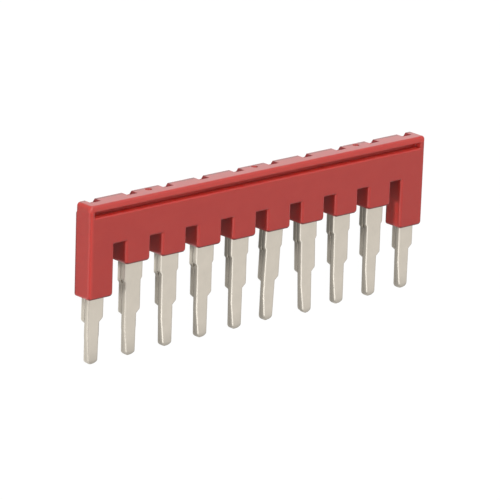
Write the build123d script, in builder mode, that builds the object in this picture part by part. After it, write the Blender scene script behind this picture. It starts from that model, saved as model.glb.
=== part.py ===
from build123d import *
import os

# Plug-in jumper comb for a row of terminal blocks, lying on its rear face.
# X runs along the row of poles, +Y is the end that the fingers push on, +Z is the front face. Millimetres.

# Row of poles
poles = 10
pitch = 6.2

# Half the band in which a corner or an edge is picked by its place
pick_band = 0.01

# Housing, seen from the front: depths are measured down from the top face
end_reach = 2.1
tooth_width = 4.15
slot_ceiling = 5.8
tooth_depth = 9.1
leg_depth = 12.95
thickness = 3.0
edge_radius = 0.3
corner_radius = 0.5
rear_edge_break = 0.1

# Grip groove under the top lip, on the front
lip_height = 0.85
groove_height = 0.87
groove_depth = 1.1
groove_end_wall = 0.8
groove_edge_radius = 0.2

# Relief along the top of the rear face
rear_relief = 0.27
rear_relief_height = 1.15
rear_relief_slope = 0.55

# Break notches in the rear top edge, one above each pole
notch_width = 1.65
notch_flank_angle = 52
notch_drop = 0.42
notch_reach = 1.6

# Round dimples that the moulding gates leave in the top face
gate_diameter = 0.95
gate_depth = 0.15
gate_setback = 1.05
gates_after_poles = (2, 5, 8)

# Stamped combs, two alike, back to back a little behind the middle of the thickness;
# the rear one reaches out further
comb_plane = 1.4
rear_comb_reach = 0.3
blade_thickness = 0.75
blade_gap = 0.1
bar_cover = 2.7
bar_height = 2.0
die_roll = 0.12

# One finger, seen from the front
shoulder_width = 3.1
body_width = 2.6
shoulder_drop = 2.4
shoulder_slope = 0.38
step_drop = 6.82
step_slope = 0.55
step_corner_radius = 0.4
finger_length = 13.03
tip_root_width = 1.97
tip_width = 1.57
tip_outer_taper = 0.35
taper_start = 9.1
tip_crown = 0.5
coin_length = 0.5
coin_depth = 0.22

# Small sideways leans of the fingers in degrees, pole by pole from the left
finger_leans = [-1.0, -0.6, 0, 0, 0, -2.7, 1.6, 0.4, 0, 0]

pole_places = [(index - (poles - 1) / 2) * pitch for index in range(poles)]
length = pitch * (poles - 1) + 2 * end_reach
height = tooth_depth + finger_length + rear_comb_reach
top = height / 2
root_length = tooth_depth - bar_cover - bar_height / 2
bar_length = pitch * (poles - 1) + shoulder_width


def finger_side(side, tip_x):
    """Corners down one side of a finger, from its root in the bar to the start of its rounded tip."""
    wide = side * shoulder_width / 2
    body = side * body_width / 2
    return [
        (wide, root_length),
        (wide, -shoulder_drop),
        (body, -shoulder_drop - shoulder_slope),
        (body, -step_drop if side > 0 else -taper_start),
        (tip_x, tip_crown - finger_length),
    ]


# The finger has its own frame: the origin is at the mouth of its tooth, on the inner face, with the outer face up
with BuildPart() as finger:
    tip_left = tip_outer_taper - body_width / 2
    tip_right = tip_left + tip_width
    left_side = finger_side(-1, tip_left)
    right_side = finger_side(1, tip_right)
    right_side.insert(-1, (tip_root_width - body_width / 2, -step_drop - step_slope))
    with BuildSketch() as finger_sketch:
        with BuildLine():
            Polyline(*left_side)
            ThreePointArc(
                left_side[-1], ((tip_left + tip_right) / 2, -finger_length), right_side[-1]
            )
            Polyline(*right_side)
            Line(left_side[0], right_side[0])
        make_face()
        step_corner = finger_sketch.vertices().filter_by_position(
            Axis.Y, -step_drop - pick_band, -step_drop + pick_band
        )
        fillet(step_corner, step_corner_radius)
    extrude(amount=blade_thickness)
    rolled_edges = finger.faces().sort_by(Axis.Z)[-1].edges().sort_by(Axis.Y)[1:-1]
    chamfer(rolled_edges, die_roll)
    with BuildSketch(Plane.YZ.offset(-shoulder_width)):
        with BuildLine():
            Polyline(
                (-finger_length - coin_length, blade_thickness - 2 * coin_depth),
                (-finger_length + coin_length, blade_thickness),
                (-finger_length + coin_length, blade_thickness + coin_depth),
                (-finger_length - coin_length, blade_thickness + coin_depth),
                close=True,
            )
        make_face()
    extrude(amount=2 * shoulder_width, mode=Mode.SUBTRACT)

turned_round = Location((0, 0, 0), (0, 180, 0))
tooth_end = top - tooth_depth

with BuildPart() as front_comb:
    with BuildSketch(Plane.XY.offset(comb_plane + blade_gap / 2)):
        with Locations((0, top - bar_cover)):
            Rectangle(bar_length, bar_height, align=(Align.CENTER, Align.MAX))
    extrude(amount=blade_thickness)
    for place, lean in zip(pole_places, finger_leans):
        with Locations(Location((place, tooth_end, comb_plane + blade_gap / 2), (0, 0, lean))):
            add(finger.part)
front_comb.part.label = "front_comb"

with BuildPart() as rear_comb:
    with BuildSketch(Plane.XY.offset(comb_plane - blade_gap / 2)):
        with Locations((0, top - bar_cover - rear_comb_reach)):
            Rectangle(bar_length, bar_height, align=(Align.CENTER, Align.MAX))
    extrude(amount=-blade_thickness)
    for place, lean in zip(pole_places, finger_leans):
        finger_mouth = (place, tooth_end - rear_comb_reach, comb_plane - blade_gap / 2)
        mouth = Location(finger_mouth, (0, 0, lean))
        with Locations(mouth * turned_round):
            add(finger.part)
rear_comb.part.label = "rear_comb"

with BuildPart() as housing:
    with BuildSketch() as outline:
        with Locations((0, top)):
            Rectangle(length, slot_ceiling, align=(Align.CENTER, Align.MAX))
        with Locations(*[(place, top) for place in pole_places[1:-1]]):
            Rectangle(tooth_width, tooth_depth, align=(Align.CENTER, Align.MAX))
        leg_width = end_reach + tooth_width / 2
        with Locations((-length / 2 + leg_width / 2, top), (length / 2 - leg_width / 2, top)):
            Rectangle(leg_width, leg_depth, align=(Align.CENTER, Align.MAX))
    extrude(amount=thickness)
    upright_edges = housing.edges().filter_by(Axis.Z).group_by(Axis.Y)
    outer_corners = upright_edges[0] + upright_edges[1] + upright_edges[-1]
    fillet(outer_corners, corner_radius)
    fillet(housing.faces().sort_by(Axis.Z)[-1].edges(), edge_radius)
    chamfer(housing.faces().sort_by(Axis.Z)[0].edges(), rear_edge_break)

    with BuildSketch(Plane.YZ.offset(-length / 2)):
        with BuildLine():
            Polyline(
                (top, 0),
                (top, rear_relief),
                (top - rear_relief_height, rear_relief),
                (top - rear_relief_height - rear_relief_slope, 0),
                close=True,
            )
        make_face()
    extrude(amount=length, mode=Mode.SUBTRACT)

    with BuildSketch(Plane.XY.offset(thickness)):
        with Locations((0, top - lip_height)):
            Rectangle(
                length - 2 * groove_end_wall, groove_height, align=(Align.CENTER, Align.MAX)
            )
    extrude(amount=-groove_depth, mode=Mode.SUBTRACT)
    groove_floor = top - lip_height - groove_height
    groove_rim = housing.edges().filter_by(Axis.X).filter_by_position(
        Axis.Y, groove_floor - pick_band, groove_floor + pick_band
    )
    fillet(groove_rim.sort_by(Axis.Z)[-1], groove_edge_radius)

    with BuildSketch(Plane.XY):
        with Locations(*[(place, top) for place in pole_places]):
            Trapezoid(
                notch_width,
                notch_drop,
                notch_flank_angle,
                rotation=180,
                align=(Align.CENTER, Align.MIN),
            )
    extrude(amount=notch_reach, mode=Mode.SUBTRACT)

    with BuildSketch(Plane(origin=(0, top, gate_setback), x_dir=(1, 0, 0), z_dir=(0, 1, 0))):
        with Locations(*[(pole_places[pole] - pitch / 2, 0) for pole in gates_after_poles]):
            Circle(gate_diameter / 2)
    extrude(amount=-gate_depth, mode=Mode.SUBTRACT)

    add(front_comb.part, mode=Mode.SUBTRACT)
    add(rear_comb.part, mode=Mode.SUBTRACT)
housing.part.label = "housing"

os.makedirs("parts", exist_ok=True)
for piece in (housing, front_comb, rear_comb):
    export_step(piece.part, f"parts/{piece.part.label}.step")
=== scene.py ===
# %% [markdown]
# # A plug-in jumper comb for a row of terminal blocks
# The real object is two plated combs, stamped from sheet metal, back to back in one moulded plastic housing.
# It lies on its rear face, with the fingers towards -Y and the grip groove up.
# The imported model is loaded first, and its box is kept, because the finished scene must have the same size.

import bpy
import numpy as np
from mathutils import Matrix, Vector


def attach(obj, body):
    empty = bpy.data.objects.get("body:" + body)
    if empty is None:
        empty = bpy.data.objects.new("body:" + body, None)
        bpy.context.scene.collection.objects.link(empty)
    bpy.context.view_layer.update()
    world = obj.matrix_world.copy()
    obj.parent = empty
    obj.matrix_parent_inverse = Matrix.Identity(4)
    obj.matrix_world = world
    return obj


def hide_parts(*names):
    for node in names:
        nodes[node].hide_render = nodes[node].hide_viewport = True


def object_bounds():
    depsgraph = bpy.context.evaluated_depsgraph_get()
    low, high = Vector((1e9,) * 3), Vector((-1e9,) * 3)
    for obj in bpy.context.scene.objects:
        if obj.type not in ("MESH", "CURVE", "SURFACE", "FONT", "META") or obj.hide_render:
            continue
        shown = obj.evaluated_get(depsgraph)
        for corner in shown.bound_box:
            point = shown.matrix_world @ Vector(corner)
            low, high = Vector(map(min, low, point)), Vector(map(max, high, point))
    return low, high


MM = 0.001

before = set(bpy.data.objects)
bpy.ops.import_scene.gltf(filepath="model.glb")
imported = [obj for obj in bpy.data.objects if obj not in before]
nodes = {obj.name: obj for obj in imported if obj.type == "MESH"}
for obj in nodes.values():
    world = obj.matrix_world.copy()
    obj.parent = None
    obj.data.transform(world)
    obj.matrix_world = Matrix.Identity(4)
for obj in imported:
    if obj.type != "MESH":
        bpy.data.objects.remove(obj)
packed_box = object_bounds()
print("nodes:", sorted(nodes))
print("packed box in mm:", [[round(v / MM, 2) for v in corner] for corner in packed_box])


# %% [markdown]
# ## Shader maths as Python expressions
# A finish is a tree of small nodes, and most of them are sums and products of masks.
# They could be placed one by one, but then the formula is lost among the links.
# Here a Wire wraps an output socket, and the operators between wires and numbers add the Math nodes.
# Every other node comes from one method, which sets the node up before it fills its sockets.

# %% A wire that can be calculated with
class Wire:
    """An output socket. An operator between wires and numbers adds the Math node that works it out."""

    def __init__(self, finish, socket):
        self.finish = finish
        self.socket = socket

    def math(self, operation, *values):
        return self.finish.node("ShaderNodeMath", {"operation": operation}, dict(enumerate(values)))

    def __add__(self, other):
        return self.math("ADD", self, other)

    def __sub__(self, other):
        return self.math("SUBTRACT", self, other)

    def __rsub__(self, other):
        return self.math("SUBTRACT", other, self)

    def __mul__(self, other):
        return self.math("MULTIPLY", self, other)

    def __pow__(self, other):
        return self.math("POWER", self, other)

    def __lt__(self, other):
        return self.math("LESS_THAN", self, other)

    def __abs__(self):
        return self.math("ABSOLUTE", self)

    __radd__ = __add__
    __rmul__ = __mul__

    def clamped(self):
        """The value, kept from 0 to 1."""
        return self.finish.node("ShaderNodeClamp", {}, {"Value": self})


# %% A finish that adds nodes
class Finish:
    """The node tree of a material or of the world, with one method that adds any node."""

    def __init__(self, owner):
        owner.use_nodes = True
        self.owner = owner
        self.tree = owner.node_tree
        self.tree.nodes.clear()

    def node(self, kind, settings, sockets, output=0):
        """Adds a node: its settings come first, and then its sockets' values or links, by name or place."""
        made = self.tree.nodes.new(kind)
        for name, value in settings.items():
            setattr(made, name, value)
        for key, value in sockets.items():
            if isinstance(value, Wire):
                self.tree.links.new(value.socket, made.inputs[key])
            else:
                made.inputs[key].default_value = value
        if made.outputs:
            return Wire(self, made.outputs[output])

    def place(self, scale=(1, 1, 1)):
        """Object coordinates, stretched by a scale for each axis."""
        here = self.node("ShaderNodeTexCoord", {}, {}, "Object")
        return self.node("ShaderNodeMapping", {}, {"Vector": here, "Scale": scale})

    def split(self, vector):
        """The three parts of a vector, as three wires."""
        parts = self.node("ShaderNodeSeparateXYZ", {}, {"Vector": vector}).socket.node.outputs
        return [Wire(self, part) for part in parts]

    def blend(self, factor, first, second):
        """The first colour where the factor is 0, and the second where it is 1."""
        return self.node("ShaderNodeMix", {"data_type": "RGBA"}, {0: factor, 6: first, 7: second}, 2)

    def noise(self, vector, grains_per_mm, detail=2.0):
        """Noise from about 0 to 1, with that many grains in a millimetre."""
        settings = {"noise_dimensions": "3D"}
        sockets = {"Vector": vector, "Scale": grains_per_mm / MM, "Detail": detail}
        return self.node("ShaderNodeTexNoise", settings, sockets)

    def rounded(self, radius):
        """A normal that turns smoothly over each edge, as if the edge had that radius."""
        return self.node("ShaderNodeBevel", {"samples": 6}, {"Radius": radius})

    def edges(self, soft, gain):
        """1 on sharp edges and 0 away from them: how far a rounded normal turns away from the face's own."""
        own = self.node("ShaderNodeNewGeometry", {}, {}, "Normal")
        along = self.node("ShaderNodeVectorMath", {"operation": "DOT_PRODUCT"}, {0: soft, 1: own}, "Value")
        return ((1 - along) * gain).clamped()

    def rays(self):
        """Two wires: 1 for a ray from the camera, and 1 for a ray off a glossy surface."""
        outputs = self.node("ShaderNodeLightPath", {}, {}).socket.node.outputs
        return [Wire(self, outputs[kind]) for kind in ("Is Camera Ray", "Is Glossy Ray")]

    def surface(self, shader):
        """Sends a shader to the material's output."""
        self.node("ShaderNodeOutputMaterial", {}, {"Surface": shader})


def new_finish(name):
    """A material with an empty node tree."""
    return Finish(bpy.data.materials.new(name))


def new_piece(name, points, faces, finish):
    """A mesh object at the origin, with its finish."""
    mesh = bpy.data.meshes.new(name)
    mesh.from_pydata(points, [], faces)
    mesh.materials.append(finish.owner)
    piece = bpy.data.objects.new(name, mesh)
    bpy.context.scene.collection.objects.link(piece)
    return piece


# %% [markdown]
# ## Red moulded plastic
# The housing is polyamide, dyed through, from a spark-eroded mould: deep red with a soft sheen at low angles.
# One flat red would look like paint, so the dye drifts a little and the mould's grain goes into the bump.
# The masks that follow need to know where lip, groove, slots and notches are, so their places come first.

# %% Colours and places of the housing
DEEP_RED = (0.42, 0.020, 0.014, 1)
WARM_RED = (0.47, 0.031, 0.020, 1)
EDGE_RED = (0.52, 0.050, 0.035, 1)
# painted light: a paler red for the lip, the groove's floor, the slots' walls and the front left edge
PAINTED_LIGHT_RED = (0.70, 0.050, 0.034, 1)
# painted shade: a near-black red for the lower, right, rear and top rear rims
RIM_SHADE_RED = (0.07, 0.002, 0.002, 1)
# painted shade: a dark red for the left flanks of the notches
NOTCH_SHADE_RED = (0.26, 0.002, 0.003, 1)
PITCH = 6.2 * MM
EJECTOR_RING = 0.8 * MM
EJECTOR_ROW = 4.55 * MM
TOP_SKIN = 11.17 * MM
NOTCH_HALF = 0.84 * MM
NOTCH_FLOOR = 10.77 * MM
NOTCH_BACK = 1.65 * MM
LIP_FOOT = 10.36 * MM
LIP_HEIGHT = 0.85 * MM
GROOVE_FLOOR = 9.45 * MM
GROOVE_END = 29.2 * MM
SLOT_CEILING = 5.4 * MM
TEETH_ZONE = 3.5 * MM
LIP_BACK = 2.5 * MM
GROOVE_BACK = 1.8 * MM
REAR_SKIN = 0.1 * MM
REAR_RIM = 0.32 * MM
TOP_RIM = 0.75 * MM
LEFT_EDGE = 29.2 * MM
HOUSING_EDGE = 0.35 * MM
EDGE_FADE = 0.4 * MM
TOP_FADE = 0.025 * MM
print("notches every", round(PITCH / MM, 2), "mm")


# %% Dye and grain of the housing
plastic = new_finish("red_polyamide")
here = plastic.place()
drift = plastic.noise(here, 0.35)
grain = plastic.noise(here, 7.0, 3.0)
soft = plastic.rounded(HOUSING_EDGE)
worn = plastic.edges(soft, 1.5)
dye_and_painted_shading = plastic.blend(drift, DEEP_RED, WARM_RED)
dye_and_painted_shading = plastic.blend(worn * 0.6, dye_and_painted_shading, EDGE_RED)
print("nodes for dye and grain:", len(plastic.tree.nodes))


# %% [markdown]
# ## Painted light and shade on the housing
# In the photo the lip, the groove's floor, the slots' walls and the front left edge are paler than the face. The
# left flanks of the notches are darker, and so are the lower, right, rear and top rear rims. All of this is light
# and shade, and the lamps here showed less of it. So each place is a mask of position and normal that paints it into
# the colour: painted light where it is paler, painted shade where it is darker. It was fitted to one photo, and it
# stays there in any other light.

# %% Masks of painted light and shade in notches, groove, slots, lip and left edge
x, y, z = plastic.split(here)
nx, _, nz = plastic.split(plastic.node("ShaderNodeTexCoord", {}, {}, "Normal"))
below_lip = y < LIP_FOOT
behind_front = z < LIP_BACK
between_ends = abs(x) < GROOVE_END
faces_left = nx < -0.9
faces_front = 1 - (nz < 0.3)
in_pitch = x.math("PINGPONG", x, PITCH / 2) - PITCH / 2
in_notch = (1 - (in_pitch < -NOTCH_HALF)) * (1 - (y < NOTCH_FLOOR)) * (z < NOTCH_BACK)
# painted shade on the left flanks of the notches
dye_and_painted_shading = plastic.blend(in_notch * (nx < -0.5), dye_and_painted_shading, NOTCH_SHADE_RED)
# painted light: the groove's floor, the slots' walls, the lip towards its foot and the front left edge are made paler
in_groove = below_lip * (1 - (y < GROOVE_FLOOR)) * behind_front * (1 - (z < GROOVE_BACK))
dye_and_painted_shading = plastic.blend(in_groove * between_ends * 0.8, dye_and_painted_shading, PAINTED_LIGHT_RED)
in_slots = faces_left * (y < SLOT_CEILING) * between_ends * behind_front
dye_and_painted_shading = plastic.blend(in_slots * 0.5, dye_and_painted_shading, PAINTED_LIGHT_RED)
on_lip = ((TOP_SKIN - y) * (1 / LIP_HEIGHT)).clamped() * (1 - below_lip) * (1 - behind_front)
left_edge = ((-LEFT_EDGE - x) * (1 / EDGE_FADE)).clamped() * (1 - (nz < 0.95)) * below_lip
dye_and_painted_shading = plastic.blend(left_edge * 0.5 + on_lip * 0.25, dye_and_painted_shading, PAINTED_LIGHT_RED)
print("nodes with these masks:", len(plastic.tree.nodes))


# %% Masks of the painted shade on the rims
sx, sy, _ = plastic.split(soft)
lower_rim = ((-0.22 - sy) * 4).clamped() * faces_front * (y < TEETH_ZONE) * 0.9
right_rim = ((sx - 0.25) * 3).clamped() * faces_front * 0.35
rear_rim = faces_left * (z < REAR_RIM) * 0.4
on_top = ((y - TOP_SKIN) * (1 / TOP_FADE)).clamped()
top_rim = on_top * (z < TOP_RIM) * 0.5
# painted shade on the lower, right, rear and top rear rims
dye_and_painted_shading = plastic.blend((lower_rim + right_rim + rear_rim + top_rim).clamped(), dye_and_painted_shading, RIM_SHADE_RED)
print("nodes with the dark rims:", len(plastic.tree.nodes))


# %% [markdown]
# ## Surface of the housing
# Polyamide lets some light in, so its shadows stay red. The top face is polished, so it has a stronger coat.
# The lip over the groove is crowned. That is a slope in the bump only, and the mesh of the lip is flat.
# Ejector pins leave a shallow ring on the rear of each tooth, which is drawn from the distance to the pin's axis.

# %% Bump and shader of the housing
GRAIN_DEPTH = 0.0022 * MM
RING_IN_GRAINS = 4
CROWN_IN_GRAINS = 140
RING_FADE = 0.125 * MM

from_pin = (in_pitch * in_pitch + (y - EJECTOR_ROW) * (y - EJECTOR_ROW)) ** 0.5
ring = (1 - abs(from_pin - EJECTOR_RING) * (1 / RING_FADE)).clamped() * (z < REAR_SKIN)
crown = ((y - LIP_FOOT) * (1 / LIP_HEIGHT)).clamped() * (1 - behind_front)
bump = plastic.node("ShaderNodeBump", {}, {
    "Normal": soft,
    "Height": grain - ring * RING_IN_GRAINS - crown * CROWN_IN_GRAINS,
    "Distance": GRAIN_DEPTH,
    "Strength": 1.0,
})
plastic.surface(plastic.node("ShaderNodeBsdfPrincipled", {}, {
    "Base Color": dye_and_painted_shading,
    "Roughness": 0.40 + grain * 0.10 - worn * 0.08,
    "IOR": 1.53,
    "Subsurface Weight": 0.60,
    "Subsurface Radius": (1.0, 0.12, 0.08),
    "Subsurface Scale": 1.0 * MM,
    "Coat Weight": 0.15 + on_top * 0.85,
    "Coat Roughness": 0.30,
    "Normal": bump,
}))
nodes["housing"].data.materials[0] = plastic.owner
print("plastic nodes:", len(plastic.tree.nodes))


# %% [markdown]
# ## Plated metal
# The combs are stamped from copper alloy and plated matt. Their faces keep the fine lines of the rolled strip.
# Their cut sides are sheared: a smooth band next to the outer face, and a rougher, darker break behind it. That
# darkness is partly the metal's own and partly painted shade.
# The object-space normal tells a face from a cut side, so one material serves both combs.
# The punch rolls the face's rim over. Its colour is a painted highlight on the left rims, and painted shade on the
# right rims and at the tips. The painted highlight grows from the first finger to the third, painted to match the
# photo.

# %% Colours and places of the combs
FACE = (0.70, 0.635, 0.545, 1)
FACE_SHADE = (0.62, 0.565, 0.485, 1)
# the cut sides' colour, partly the sheared metal's own and partly painted shade, also used for painted shade on rims
CUT_SIDE_AND_RIM_SHADE = (0.37, 0.34, 0.29, 1)
# painted highlight on the rolled-over rims, dimmed to painted shade at the first finger
ROLLED_RIM_HIGHLIGHT = (0.79, 0.74, 0.66, 1)
SHADED_RIM = (0.50, 0.46, 0.40, 1)
MIDDLE = 1.40 * MM
BLADE = 0.75 * MM
BLADE_EDGE = 0.24 * MM
SHADED_RIM_END = 29 * MM
SHADED_RIM_FADE = 12 * MM
LINE_DEPTH = 0.0015 * MM
print("blade thickness in mm:", round(BLADE / MM, 2))


# %% Lines, cut sides and rims of the combs
plating = new_finish("matt_plating")
x, _, z = plating.split(plating.place())
_, _, nz = plating.split(plating.node("ShaderNodeTexCoord", {}, {}, "Normal"))
rolled = plating.noise(plating.place((9, 1, 9)), 1.4, 3.0)
sheared = plating.noise(plating.place((6, 6, 1)), 2.5, 2.0)
cloud = plating.noise(plating.place(), 0.6)
side = (1 - (abs(nz) - 0.30) * 4).clamped()
smooth_band = ((abs(z - MIDDLE) - 0.6 * BLADE) * (9 / BLADE)).clamped()
broken = side * (1 - smooth_band * 0.25)
rolled_over = ((0.9 - abs(nz)) * 10).clamped() * (1 - side)
print("nodes for lines, sides and rims:", len(plating.tree.nodes))


# %% Colour, bump and shader of the combs
mottle = (rolled + cloud - 0.6).clamped()
tint = plating.blend(mottle, FACE_SHADE, FACE)
# the cut sides darken: partly the sheared metal's own tone, partly painted shade
tint = plating.blend(broken * 0.9, tint, CUT_SIDE_AND_RIM_SHADE)
# the painted highlight on the rims fades into painted shade towards the first finger
from_left = ((x + SHADED_RIM_END) * (1 / SHADED_RIM_FADE)).clamped()
tint = plating.blend(rolled_over, tint, plating.blend(from_left, SHADED_RIM, ROLLED_RIM_HIGHLIGHT))
soft = plating.rounded(BLADE_EDGE)
sx, sy, _ = plating.split(soft)
# painted shade on the faces next to their right and lower rims
rim_shade = ((sx - 0.06) * 6).clamped() + ((-0.08 - sy) * 5).clamped()
tint = plating.blend(rim_shade.clamped() * (1 - (abs(nz) < 0.9)) * 0.7, tint, CUT_SIDE_AND_RIM_SHADE)
bump = plating.node("ShaderNodeBump", {}, {
    "Normal": soft,
    "Height": rolled * (1 - side) + sheared * side * 2,
    "Distance": LINE_DEPTH,
    "Strength": 1.0,
})
plating.surface(plating.node("ShaderNodeBsdfPrincipled", {}, {
    "Base Color": tint,
    "Metallic": 1.0,
    "Roughness": 0.30 + rolled * 0.10 + broken * 0.15 + rolled_over * 0.20,
    "Normal": bump,
}))
for name in ("front_comb", "rear_comb"):
    nodes[name].data.materials[0] = plating.owner
print("plating nodes:", len(plating.tree.nodes))


# %% [markdown]
# ## Half-round finger tips
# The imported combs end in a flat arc, and the real fingers are rounder, most of all the five on the right.
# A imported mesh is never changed, so each comb gets a copy with its points merged, which stands for it.
# A point on the tip's arc keeps its place across the finger, and its height above the end goes from the flat arc to
# the half round. On the rolled-over rim both arcs are smaller by the rim's inset. Two fingers are a little shorter or
# longer than the others, and most are bent to the right by about 0.1 mm at the tip. That was read off the photo's
# outlines to about 0.1 mm.

# %% Sizes of the finger tips
POLES = 10
MIDDLE_POLE = (POLES - 1) / 2
FINGER_LENGTH = 13.03 * MM
MOUTH = 2.115 * MM
REAR_REACH = 0.3 * MM
TIP_HALF = 0.785 * MM
TIP_CROWN = 0.5 * MM
TIP_SHIFT = 0.165 * MM
DIE_ROLL = 0.12 * MM
HALF_GAP = 0.05 * MM
TIP_MARGIN = 0.04 * MM
SHARP_FROM = np.radians(24)
LEANS = np.radians([-1.0, -0.6, 0, 0, 0, -2.7, 1.6, 0.4, 0, 0])
ROUNDING = np.array([0.35, 0.35, 0.45, 0.6, 0.6, 1, 1, 1, 1, 1])
BEND = np.array([0, 0.08, 0.12, 0.08, 0.06, 0.12, 0.12, 0.15, 0.08, 0.08]) * MM
FRONT_STRETCH = np.array([0, 0, 0, 0, 0, -0.12, 0.25, 0, 0, 0]) * MM
REAR_STRETCH = np.array([0, 0, 0, 0, 0, -0.12, 0, 0, 0, 0]) * MM
print("most bend of a finger in mm:", round(BEND.max() / MM, 2))


# %% Merging a comb and rounding its tips
def merged(node):
    """A node's points and triangles, where points at the same place are one."""
    mesh = nodes[node].data
    points = np.empty(3 * len(mesh.vertices))
    mesh.vertices.foreach_get("co", points)
    corners = np.empty(len(mesh.loops), dtype=np.int32)
    mesh.loops.foreach_get("vertex_index", corners)
    places, numbers = np.unique(points.reshape(-1, 3).round(9), axis=0, return_inverse=True)
    triangles = numbers.reshape(-1)[corners].reshape(-1, 3)
    whole = (triangles != np.roll(triangles, 1, axis=1)).all(axis=1)
    return places, triangles[whole]


def round_tips(points, side, stretch):
    """Moves each tip's arc. In a finger's own frame, with u across it from the tip's middle, and with the rim's
    inset o, a point of an arc with radius r lies r - sqrt((r - o)^2 - u^2) above the finger's end. The height
    changes by the difference between r = TIP_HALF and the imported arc's r, less the finger's stretch. The bend grows
    evenly from the mouth of the tooth to the end. side is 1 for the front comb, and -1 for the rear one."""
    packed_radius = (TIP_HALF**2 + TIP_CROWN**2) / (2 * TIP_CROWN)
    finger = np.clip(np.rint(points[:, 0] / PITCH + MIDDLE_POLE), 0, POLES - 1).astype(int)
    lean = LEANS[finger]
    across = points[:, 0] - (finger - MIDDLE_POLE) * PITCH
    along = points[:, 1] - MOUTH + (REAR_REACH if side < 0 else 0)
    u = across * np.cos(lean) + along * np.sin(lean) + side * TIP_SHIFT
    end = along * np.cos(lean) - across * np.sin(lean) + FINGER_LENGTH
    deep = side * (points[:, 2] - MIDDLE) - HALF_GAP
    inset = np.clip(deep - (BLADE - DIE_ROLL), 0, DIE_ROLL)

    def height(radius):
        return radius - np.sqrt(np.clip((radius - inset) ** 2 - u**2, 0, None))

    rise = (height(TIP_HALF) - height(packed_radius)) * ROUNDING[finger] - stretch[finger]
    rise = rise * (end < TIP_CROWN + TIP_MARGIN)
    points[:, 0] += BEND[finger] * np.clip(1 - end / FINGER_LENGTH, 0, 1) - rise * np.sin(lean)
    points[:, 1] += rise * np.cos(lean)
    return points, rise


# %% Combs with rounder tips
for name, side, stretch in (("front_comb", 1, FRONT_STRETCH), ("rear_comb", -1, REAR_STRETCH)):
    places, triangles = merged(name)
    places, rise = round_tips(places, side, stretch)
    comb = new_piece(name + "_rounded", places, triangles.tolist(), plating)
    comb.data.shade_smooth()
    comb.data.set_sharp_from_angle(angle=SHARP_FROM)
    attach(comb, "root")
    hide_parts(name)
    print(name, "tip points moved:", int((rise != 0).sum()), "most, in mm:", round(rise.max() / MM, 3))


# %% [markdown]
# ## Gate remains
# The mould is filled through three small gates, each in a dimple of the top face, and each leaves a torn stub.
# A stub is a dome on a round grid: its height falls off towards the rim, and a few waves round it make it look torn.

# %% Stubs in the three dimples
GATE_GAPS = np.array([-3, 0, 3]) * PITCH
GATE_DEPTH = 0.15 * MM
GATE_HEIGHT = 1.05 * MM
STUB_RINGS = 6
STUB_TURN = 24


def gate_stubs(radius, rise):
    """Domes in a row. At share u of the radius the height is rise * (1 - u^2)^0.6, and waves of the angle
    raise or lower it by up to a quarter where 0 < u < 1. The flat rim lies in the dimple's floor."""
    u = np.linspace(0, 1, STUB_RINGS + 1)[1:, None]
    turn = np.linspace(0, 2 * np.pi, STUB_TURN, endpoint=False)[None, :]
    wave = 1 + 0.25 * np.sin(3 * turn + 0.7) * np.sin(np.pi * u)
    up = rise * (1 - u**2) ** 0.6 * wave
    ring = np.stack([radius * u * np.cos(turn), up, -radius * u * np.sin(turn)], axis=-1).reshape(-1, 3)
    dome = np.vstack([[[0, rise, 0]], ring])
    floor_y = packed_box[1].y - GATE_DEPTH
    gates = len(GATE_GAPS)
    centres = np.stack([GATE_GAPS, np.full(gates, floor_y), np.full(gates, GATE_HEIGHT)], axis=-1)
    points = (centres[:, None, :] + dome[None, :, :]).reshape(-1, 3)

    a = np.arange(STUB_TURN)
    b = (a + 1) % STUB_TURN
    fan = np.stack([np.zeros_like(a), 1 + a, 1 + b], axis=-1)
    inner = 1 + STUB_TURN * np.arange(STUB_RINGS - 1)[:, None]
    outer = inner + STUB_TURN
    quads = np.stack([inner + a, outer + a, outer + b, inner + b], axis=-1).reshape(-1, 4)
    offsets = len(dome) * np.arange(gates)[:, None, None]
    faces = (fan + offsets).reshape(-1, 3).tolist() + (quads + offsets).reshape(-1, 4).tolist()
    return points, faces


points, faces = gate_stubs(radius=0.30 * MM, rise=0.10 * MM)
stubs = new_piece("gate_remains", points, faces, plastic)
stubs.data.shade_smooth()
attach(stubs, "root")
print("gate remains:", len(faces), "faces")


# %% [markdown]
# ## Floor and background
# The object lies on a plain pale floor, which is white to the camera, where a strength of 1 is white. The part of
# it that is lit keeps the soft shadow under the fingers. Glossy plastic and metal mirror the floor, in zones of
# their own brightness: a painted shadow under the housing, and painted light behind the top face, to the left and
# beside the shoulders of the first fingers. The zones were fitted to the photo's reflections, and the floor isn't
# part of the object. Its greys are half of what shows, because the glow has a strength of 2. The world is white to
# the camera and nearly white to gloss, and it lights the object more weakly.

# %% Zones and greys of the floor
def grey(level):
    """A colour without a tint, of that brightness."""
    return (level, level, level, 1)


FLOOR_HALF = 1.5
FLOOR_DROP = 0.02 * MM
LIT_SHARE = 0.05
BEHIND_TOP = 11 * MM
LEFT_END = -16 * MM
TEETH_END = -1.5 * MM
SHOULDERS_END = -1.6 * MM
TEETH_MOUTH = 1.4 * MM
BEHIND_FADE = 0.4 * MM
BEFORE_FADE = 2 * MM
LEFT_FADE = 14 * MM
BESIDE_FADE = 0.5 * MM
HOUSING_LEFT = -30 * MM
BESIDE_LEFT = -28.5 * MM
BESIDE_RIGHT = -8 * MM
GLOW_STRENGTH = 2.0
MIRROR_DARK = grey(0.18)
MIRROR_MIDDLE = grey(0.42)
MIRROR_BEHIND = grey(0.50)
MIRROR_BRIGHT = grey(0.80)
FLOOR_WHITE = grey(0.52)
zone_ends = (HOUSING_LEFT, BESIDE_LEFT, LEFT_END, BESIDE_RIGHT)
print("floor zones end at x, in mm:", [round(v / MM, 1) for v in zone_ends])


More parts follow.
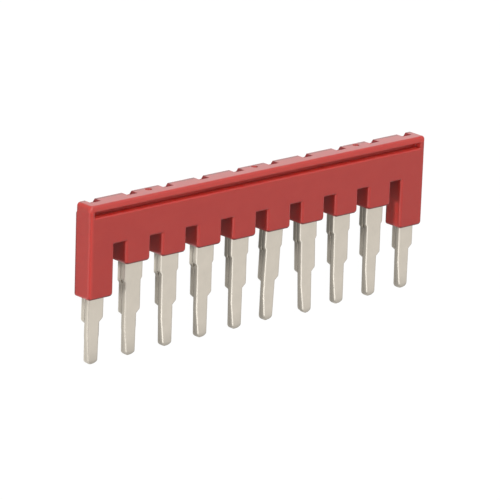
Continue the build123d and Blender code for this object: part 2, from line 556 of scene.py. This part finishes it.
# %% Finish of the floor
backdrop = new_finish("pale_floor")
camera_ray, glossy_ray = backdrop.rays()
here = backdrop.place()
speck = backdrop.noise(here, 0.05)
lit = backdrop.node("ShaderNodeBsdfDiffuse", {}, {
    "Color": backdrop.blend(speck, grey(0.80), grey(0.83)),
})
x, y, _ = backdrop.split(here)
behind = ((y - BEHIND_TOP) * (1 / BEHIND_FADE)).clamped()
before = ((TEETH_END - y) * (1 / BEFORE_FADE)).clamped()
left = ((LEFT_END - x) * (1 / LEFT_FADE)).clamped()
beside = ((y - SHOULDERS_END) * (1 / BESIDE_FADE)).clamped() * ((TEETH_MOUTH - y) * (1 / BESIDE_FADE)).clamped()
beside = beside * (x < BESIDE_RIGHT) * (1 - (x < BESIDE_LEFT))
# painted reflections: painted light to the left, beside the first shoulders and behind, a painted shadow under the
# housing
mirrored = backdrop.blend(left, MIRROR_MIDDLE, MIRROR_BRIGHT)
mirrored = backdrop.blend(before, MIRROR_DARK, mirrored)
mirrored = backdrop.blend((x < HOUSING_LEFT) * (1 - before), mirrored, MIRROR_MIDDLE)
mirrored = backdrop.blend(beside, mirrored, MIRROR_BRIGHT)
mirrored = backdrop.blend(behind, mirrored, MIRROR_BEHIND)
shade = backdrop.blend(glossy_ray, FLOOR_WHITE, mirrored)
glow = backdrop.node("ShaderNodeEmission", {}, {"Color": shade, "Strength": GLOW_STRENGTH})
seen = (camera_ray + glossy_ray) * (1 - LIT_SHARE)
backdrop.surface(backdrop.node("ShaderNodeMixShader", {}, {0: seen, 1: lit, 2: glow}))
print("floor nodes:", len(backdrop.tree.nodes))


# %% Floor and world
SKY_LIGHT = 0.30
SKY_TO_CAMERA = 0.70
SKY_TO_GLOSS = 0.62

signs = [(-1, -1), (1, -1), (1, 1), (-1, 1)]
corners = [(sign_x * FLOOR_HALF, sign_y * FLOOR_HALF, -FLOOR_DROP) for sign_x, sign_y in signs]
floor = new_piece("floor", corners, [(0, 1, 2, 3)], backdrop)

world = Finish(bpy.data.worlds.new("studio"))
bpy.context.scene.world = world.owner
camera_ray, glossy_ray = world.rays()
strength = SKY_LIGHT + camera_ray * SKY_TO_CAMERA + glossy_ray * SKY_TO_GLOSS
sky = world.node("ShaderNodeBackground", {}, {"Color": grey(1), "Strength": strength})
world.node("ShaderNodeOutputWorld", {}, {"Surface": sky})
print("floor and world ready")


# %% [markdown]
# ## Lamps
# A softbox is a square area lamp that looks at the object. Its power is worked out from the brightness that it
# should give to a white surface that faces it, so that a lamp can be moved without changing the exposure.
# The key stands behind the top face, which it lights most, and it leaves the groove and the slots in shadow.
# The low lamp lights the left end and the front strip of each slot's wall.

# %% Softboxes
def softbox(name, direction, distance, size, brightness):
    """An area lamp at that distance, in that direction from the object. brightness is what it adds to a white
    surface facing it: power = pi^2 * brightness * distance^2."""
    data = bpy.data.lights.new(name, "AREA")
    data.shape = "RECTANGLE"
    data.size, data.size_y = size
    data.energy = np.pi**2 * brightness * distance**2
    lamp = bpy.data.objects.new(name, data)
    towards = Vector(direction).normalized()
    turned = towards.to_track_quat("Z", "Y").to_matrix().to_4x4()
    lamp.matrix_world = Matrix.Translation(towards * distance) @ turned
    bpy.context.scene.collection.objects.link(lamp)


softbox("key", direction=(0.0, 0.78, 0.62), distance=1.10, size=(0.45, 0.45), brightness=0.84)
softbox("left_low", direction=(-1.0, 0.0, 0.16), distance=1.10, size=(0.20, 0.20), brightness=0.46)


# %% [markdown]
# ## Camera
# The photograph was taken from the upper left with a long lens. The camera's place, about half a metre away at the
# part's stated size, comes from a pinhole fit, and the slight roll turns it about its own axis.

# %% Camera
EYE = Vector((-327.283, 154.372, 367.753)) * MM
AIM = Vector((-0.701, -0.34, 1.5)) * MM
ROLL = np.radians(2.0153)
LENS = 273.055

forward = (AIM - EYE).normalized()
right = forward.cross(Vector((0, 1, 0))).normalized()
up = right.cross(forward)
rolled_right = np.cos(ROLL) * right + np.sin(ROLL) * up
rolled_up = np.cos(ROLL) * up - np.sin(ROLL) * right

camera_data = bpy.data.cameras.new("camera")
camera_data.lens = LENS
camera_data.sensor_width = 36
camera_data.clip_start = 0.01
camera = bpy.data.objects.new("camera", camera_data)
axes = Matrix((rolled_right, rolled_up, -forward)).transposed().to_4x4()
camera.matrix_world = Matrix.Translation(EYE) @ axes
bpy.context.scene.collection.objects.link(camera)
bpy.context.scene.camera = camera
bpy.context.scene.view_settings.view_transform = "Standard"
print("camera at", [round(v, 4) for v in EYE])
